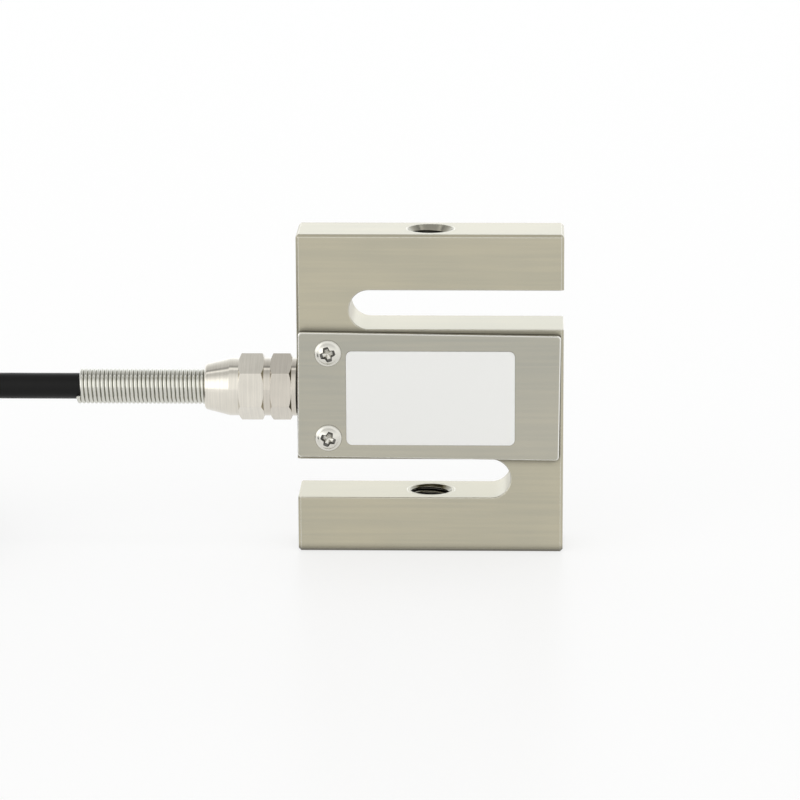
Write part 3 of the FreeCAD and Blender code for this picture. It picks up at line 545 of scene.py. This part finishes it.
def pan_screw(node_name, turn):
    """A pan head screw with a rounded crown, a tapered cross recess and its shank, on a screw node."""
    low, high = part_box(node_name)
    middle = (low + high) / 2
    outward = -1 if middle.y < 0 else 1
    face = (low.y if outward < 0 else high.y) / MM
    length = (high.y - low.y) / MM
    across = (high.x - low.x) / MM / 2
    dome, head = 2.8, 1.5  # the crown's radius and the head's height
    crown = [(r, dome - math.sqrt(dome * dome - r * r)) for r in (0.4, 0.9, 1.3, 1.65, 1.95, 2.18)]
    crown += [(2.35, 1.09), (across - 0.08, 1.22), (across, 1.34), (across - 0.03, 1.42)]
    crown += [(across - 0.16, head), (SHANK, head), (SHANK, length - 0.4), (SHANK - 0.4, length)]

    def at(radius, angle, depth):
        across_x, across_z = radius * math.cos(angle), radius * math.sin(angle)
        return Vector((middle.x + across_x * MM, (face - outward * depth) * MM, middle.z + across_z * MM))

    mesh = bmesh.new()
    around = 72
    turned = [2 * math.pi * k / around for k in range(around)]
    ring_skin(mesh, [[mesh.verts.new(at(r, a, depth)) for a in turned] for r, depth in crown])
    bmesh.ops.recalc_face_normals(mesh, faces=mesh.faces)
    data = bpy.data.meshes.new(node_name)
    mesh.to_mesh(data)
    mesh.free()
    name = node_name.replace("screw", "pan_screw")
    screw = add_object(name, data, SCREW)

    cross = bmesh.new()
    rings = []
    for depth, reach, arm, inside in RECESS_RINGS:
        ring = []
        for k in range(4):
            start = math.radians(turn) + k * math.pi / 2
            tip = math.hypot(reach, arm / 2)
            spread = math.atan2(arm / 2, reach)
            ring += [at(tip, start - spread, depth), at(tip, start + spread, depth)]
            ring.append(at(inside, start + math.pi / 4, depth))
        rings.append([cross.verts.new(spot) for spot in ring])
    rings.append([cross.verts.new(at(0, 0, RECESS_DEPTH))])
    ring_skin(cross, rings)
    cut_away(screw, cross)
    shade(screw, 35, 1.2)
    screw.data.materials.clear()
    screw.data.materials.append(SCREW)
    screw.data.materials.append(RECESS_SHADE)
    for polygon in screw.data.polygons:
        spot = polygon.center - middle
        aside = math.hypot(spot.x, spot.z) / MM
        depth = abs(polygon.center.y / MM - face)
        crown_depth = dome - math.sqrt(dome * dome - min(aside, 2.4) ** 2)
        in_recess = aside < 1.7 and crown_depth + 0.03 < depth < RECESS_DEPTH + 0.05
        # the recess's steep walls take the dark painted shade material
        if in_recess and abs(polygon.normal.y) < 0.75:
            polygon.material_index = 1
    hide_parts(node_name)


for node_name, turn in {
    "front_screw_upper": 16,
    "front_screw_lower": 70,
    "back_screw_upper": 35,
    "back_screw_lower": 65,
}.items():
    pan_screw(node_name, turn)


# ---------------------------------------------------------------- threads

BODY_HEIGHT, ARM_HEIGHT = 62.0, 10.7
THREAD_PITCH, THREAD_CREST, THREAD_ROOT = 1.25, 3.323, 4.0
THREAD_WALL = 4.6  # the radius of the walls that carry the threads


def thread_radius(share):
    """The radius of an M8 x 1.25 internal thread at a share of its pitch, in millimetres."""
    share = share % 1
    crest_end, rise, root_width = 0.25, 0.3125, 0.125
    root_end = crest_end + root_width + rise
    height = THREAD_ROOT - THREAD_CREST
    if share < crest_end:
        return THREAD_CREST
    if share < crest_end + rise:
        return THREAD_CREST + height * (share - crest_end) / rise
    if share < root_end:
        return THREAD_ROOT
    return THREAD_ROOT - height * (share - root_end) / (1 - root_end)


def threaded_sleeve(name, mouth, inner):
    """The wall of one load thread, from its outer mouth to its end in the slot, with a true helix."""
    around = 96
    row_height = 0.07
    mouth_width, mouth_slope = 4.38, math.tan(math.radians(42))
    end_width, end_slope = 4.12, math.tan(math.radians(45))
    up = 1 if inner > mouth else -1
    length = abs(inner - mouth)
    rows = int(length / row_height)
    mesh = bmesh.new()

    def at(radius, angle, level):
        return mesh.verts.new(mm(radius * math.cos(angle), radius * math.sin(angle), level))

    grid = []
    for row in range(rows + 1):
        depth = length * row / rows
        ring = []
        for k in range(around):
            angle = 2 * math.pi * k / around
            thread = thread_radius((up * depth) / THREAD_PITCH - k / around)
            mouth_cone = mouth_width - depth * mouth_slope
            end_cone = end_width - (length - depth) * end_slope
            ring.append(at(max(thread, mouth_cone, end_cone), angle, mouth + up * depth))
        grid.append(ring)
    turned = [2 * math.pi * k / around for k in range(around)]
    near, far = ([at(THREAD_WALL, angle, level) for angle in turned] for level in (mouth, inner))
    joined = [*zip(grid, grid[1:], strict=False), (near, grid[0]), (grid[-1], far), (far, near)]
    for upper, lower in joined:
        for k in range(around):
            n = (k + 1) % around
            mesh.faces.new((upper[k], upper[n], lower[n], lower[k]))
    bmesh.ops.recalc_face_normals(mesh, faces=mesh.faces)
    data = bpy.data.meshes.new(name)
    mesh.to_mesh(data)
    mesh.free()
    sleeve = add_object(name, data, THREAD)
    data.materials.append(BODY)
    for polygon in data.polygons:
        level = abs(polygon.normal.z) > 0.99
        polygon.use_smooth = not level
        polygon.material_index = int(level)


def body_with_threads():
    """The body with room cut for its two threaded walls, and the walls themselves."""
    data = nodes["s_body"].data.copy()
    body = add_object("body", data, BODY)
    for level in (ARM_HEIGHT / 2, BODY_HEIGHT - ARM_HEIGHT / 2):
        drill = bmesh.new()
        bmesh.ops.create_cone(
            drill,
            cap_ends=True,
            segments=96,
            radius1=THREAD_WALL * MM,
            radius2=THREAD_WALL * MM,
            depth=12 * MM,
            matrix=Matrix.Translation(mm(0, 0, level)),
        )
        cut_away(body, drill)
    shade(body, 25, 12)
    body.data.materials.clear()
    body.data.materials.append(BODY)
    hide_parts("s_body")
    threaded_sleeve("thread_upper", BODY_HEIGHT, BODY_HEIGHT - ARM_HEIGHT)
    threaded_sleeve("thread_lower", 0.0, ARM_HEIGHT)


body_with_threads()


# ---------------------------------------------------------------- floor and light

def add_floor():
    """A plain pale floor with a soft sheen, partly white of its own where it is seen."""
    data = bpy.data.meshes.new("floor")
    side, own_white = 6.0, 0.68
    data.from_pydata(
        [(-side, -side, 0), (side, -side, 0), (side, side, 0), (-side, side, 0)], [], [(0, 1, 2, 3)]
    )
    m = Nodes("pale_floor")
    m.set(Base_Color=(0.97, 0.97, 0.965, 1), Roughness=0.35, Specular_IOR_Level=0.3)
    path = m.add("ShaderNodeLightPath")
    seen = m.math("MAXIMUM", path.outputs["Is Camera Ray"], path.outputs["Is Glossy Ray"])
    white = m.add("ShaderNodeEmission", {"Color": (1, 1, 1, 1), "Strength": 1.0}).outputs[0]
    share = m.math("MULTIPLY", seen, own_white)
    blend = m.add("ShaderNodeMixShader", {0: share, 1: m.shader.outputs[0], 2: white})
    out = next(node for node in m.tree.nodes if node.type == "OUTPUT_MATERIAL")
    m.tree.links.new(blend.outputs[0], out.inputs["Surface"])
    data.materials.append(m.material)
    floor = bpy.data.objects.new("floor", data)
    scene.collection.objects.link(floor)


# the light's strength at angles in degrees, from the horizon in front over the top to the one behind
WORLD_STEPS = (
    (0, 1.08), (12, 1.10), (44, 1.08), (54, 0.94), (62, 0.86), (66, 0.70), (76, 0.64), (80, 0.66), (84, 1.1),
    (88, 1.35), (91, 0.9), (94, 0.5), (98, 0.33), (102, 0.45), (106, 0.66), (118, 0.71), (128, 0.82),
    (142, 1.02), (152, 1.2), (163, 1.46), (180, 1.46),
)
SIDE_LEVEL = 1.1
LEFT_LAMP, LEFT_STRENGTH = (-0.80, -0.57, 0.19), 0.6
WORLD_TINTS = ((0.72, (1, 1, 0.99, 1)), (0.86, (0.965, 0.985, 1, 1)))


def add_world():
    """Soft white light from all round: a strip overhead, a bright wall behind, a brighter left."""
    world = bpy.data.worlds.new("studio")
    scene.world = world
    world.use_nodes = True
    tree = world.node_tree
    background = tree.nodes["Background"]

    def add(kind, inputs, output=0, **settings):
        node = tree.nodes.new(kind)
        for key, setting in settings.items():
            setattr(node, key, setting)
        for key, given in inputs.items():
            feed(tree, node.inputs[key], given)
        return node.outputs[output]

    def step(factor, start, end, low, high):
        inputs = {"Value": factor, "From Min": start, "From Max": end, "To Min": low, "To Max": high}
        return add("ShaderNodeMapRange", inputs, interpolation_type="SMOOTHSTEP")

    way = add("ShaderNodeTexCoord", {}, "Generated")
    split = tree.nodes.new("ShaderNodeSeparateXYZ")
    tree.links.new(way, split.inputs[0])
    x, y, z = split.outputs
    forward = add("ShaderNodeMath", {0: y, 1: -1.0}, operation="MULTIPLY")
    angle = add("ShaderNodeMath", {0: z, 1: forward}, operation="ARCTAN2")
    share = add("ShaderNodeMath", {0: angle, 1: math.pi}, operation="DIVIDE")
    ramp = tree.nodes.new("ShaderNodeValToRGB")
    tree.links.new(share, ramp.inputs[0])
    elements = ramp.color_ramp.elements
    while len(elements) < len(WORLD_STEPS):
        elements.new(0.5)
    for element, (degrees, level) in zip(elements, WORLD_STEPS, strict=True):
        element.position = degrees / 180
        element.color = (level / 2, level / 2, level / 2, 1)
    level = add("ShaderNodeMath", {0: ramp.outputs["Color"], 1: 2.0}, operation="MULTIPLY")
    aside = step(add("ShaderNodeMath", {0: x}, operation="ABSOLUTE"), 0.72, 0.97, 0, 1)
    even = add("ShaderNodeMix", {"Factor": aside, "A": level, "B": SIDE_LEVEL}, data_type="FLOAT")
    left = add("ShaderNodeVectorMath", {0: way, 1: LEFT_LAMP}, "Value", operation="DOT_PRODUCT")
    lamp = step(left, 0.8, 0.97, 0, LEFT_STRENGTH)
    strength = add("ShaderNodeMath", {0: even, 1: lamp}, operation="ADD")
    tint = tree.nodes.new("ShaderNodeValToRGB")
    tree.links.new(share, tint.inputs[0])
    for element, (place, color) in zip(tint.color_ramp.elements, WORLD_TINTS, strict=True):
        element.position = place
        element.color = color
    tree.links.new(tint.outputs["Color"], background.inputs["Color"])
    tree.links.new(strength, background.inputs["Strength"])


add_floor()
add_world()
scene.view_settings.view_transform = "Standard"
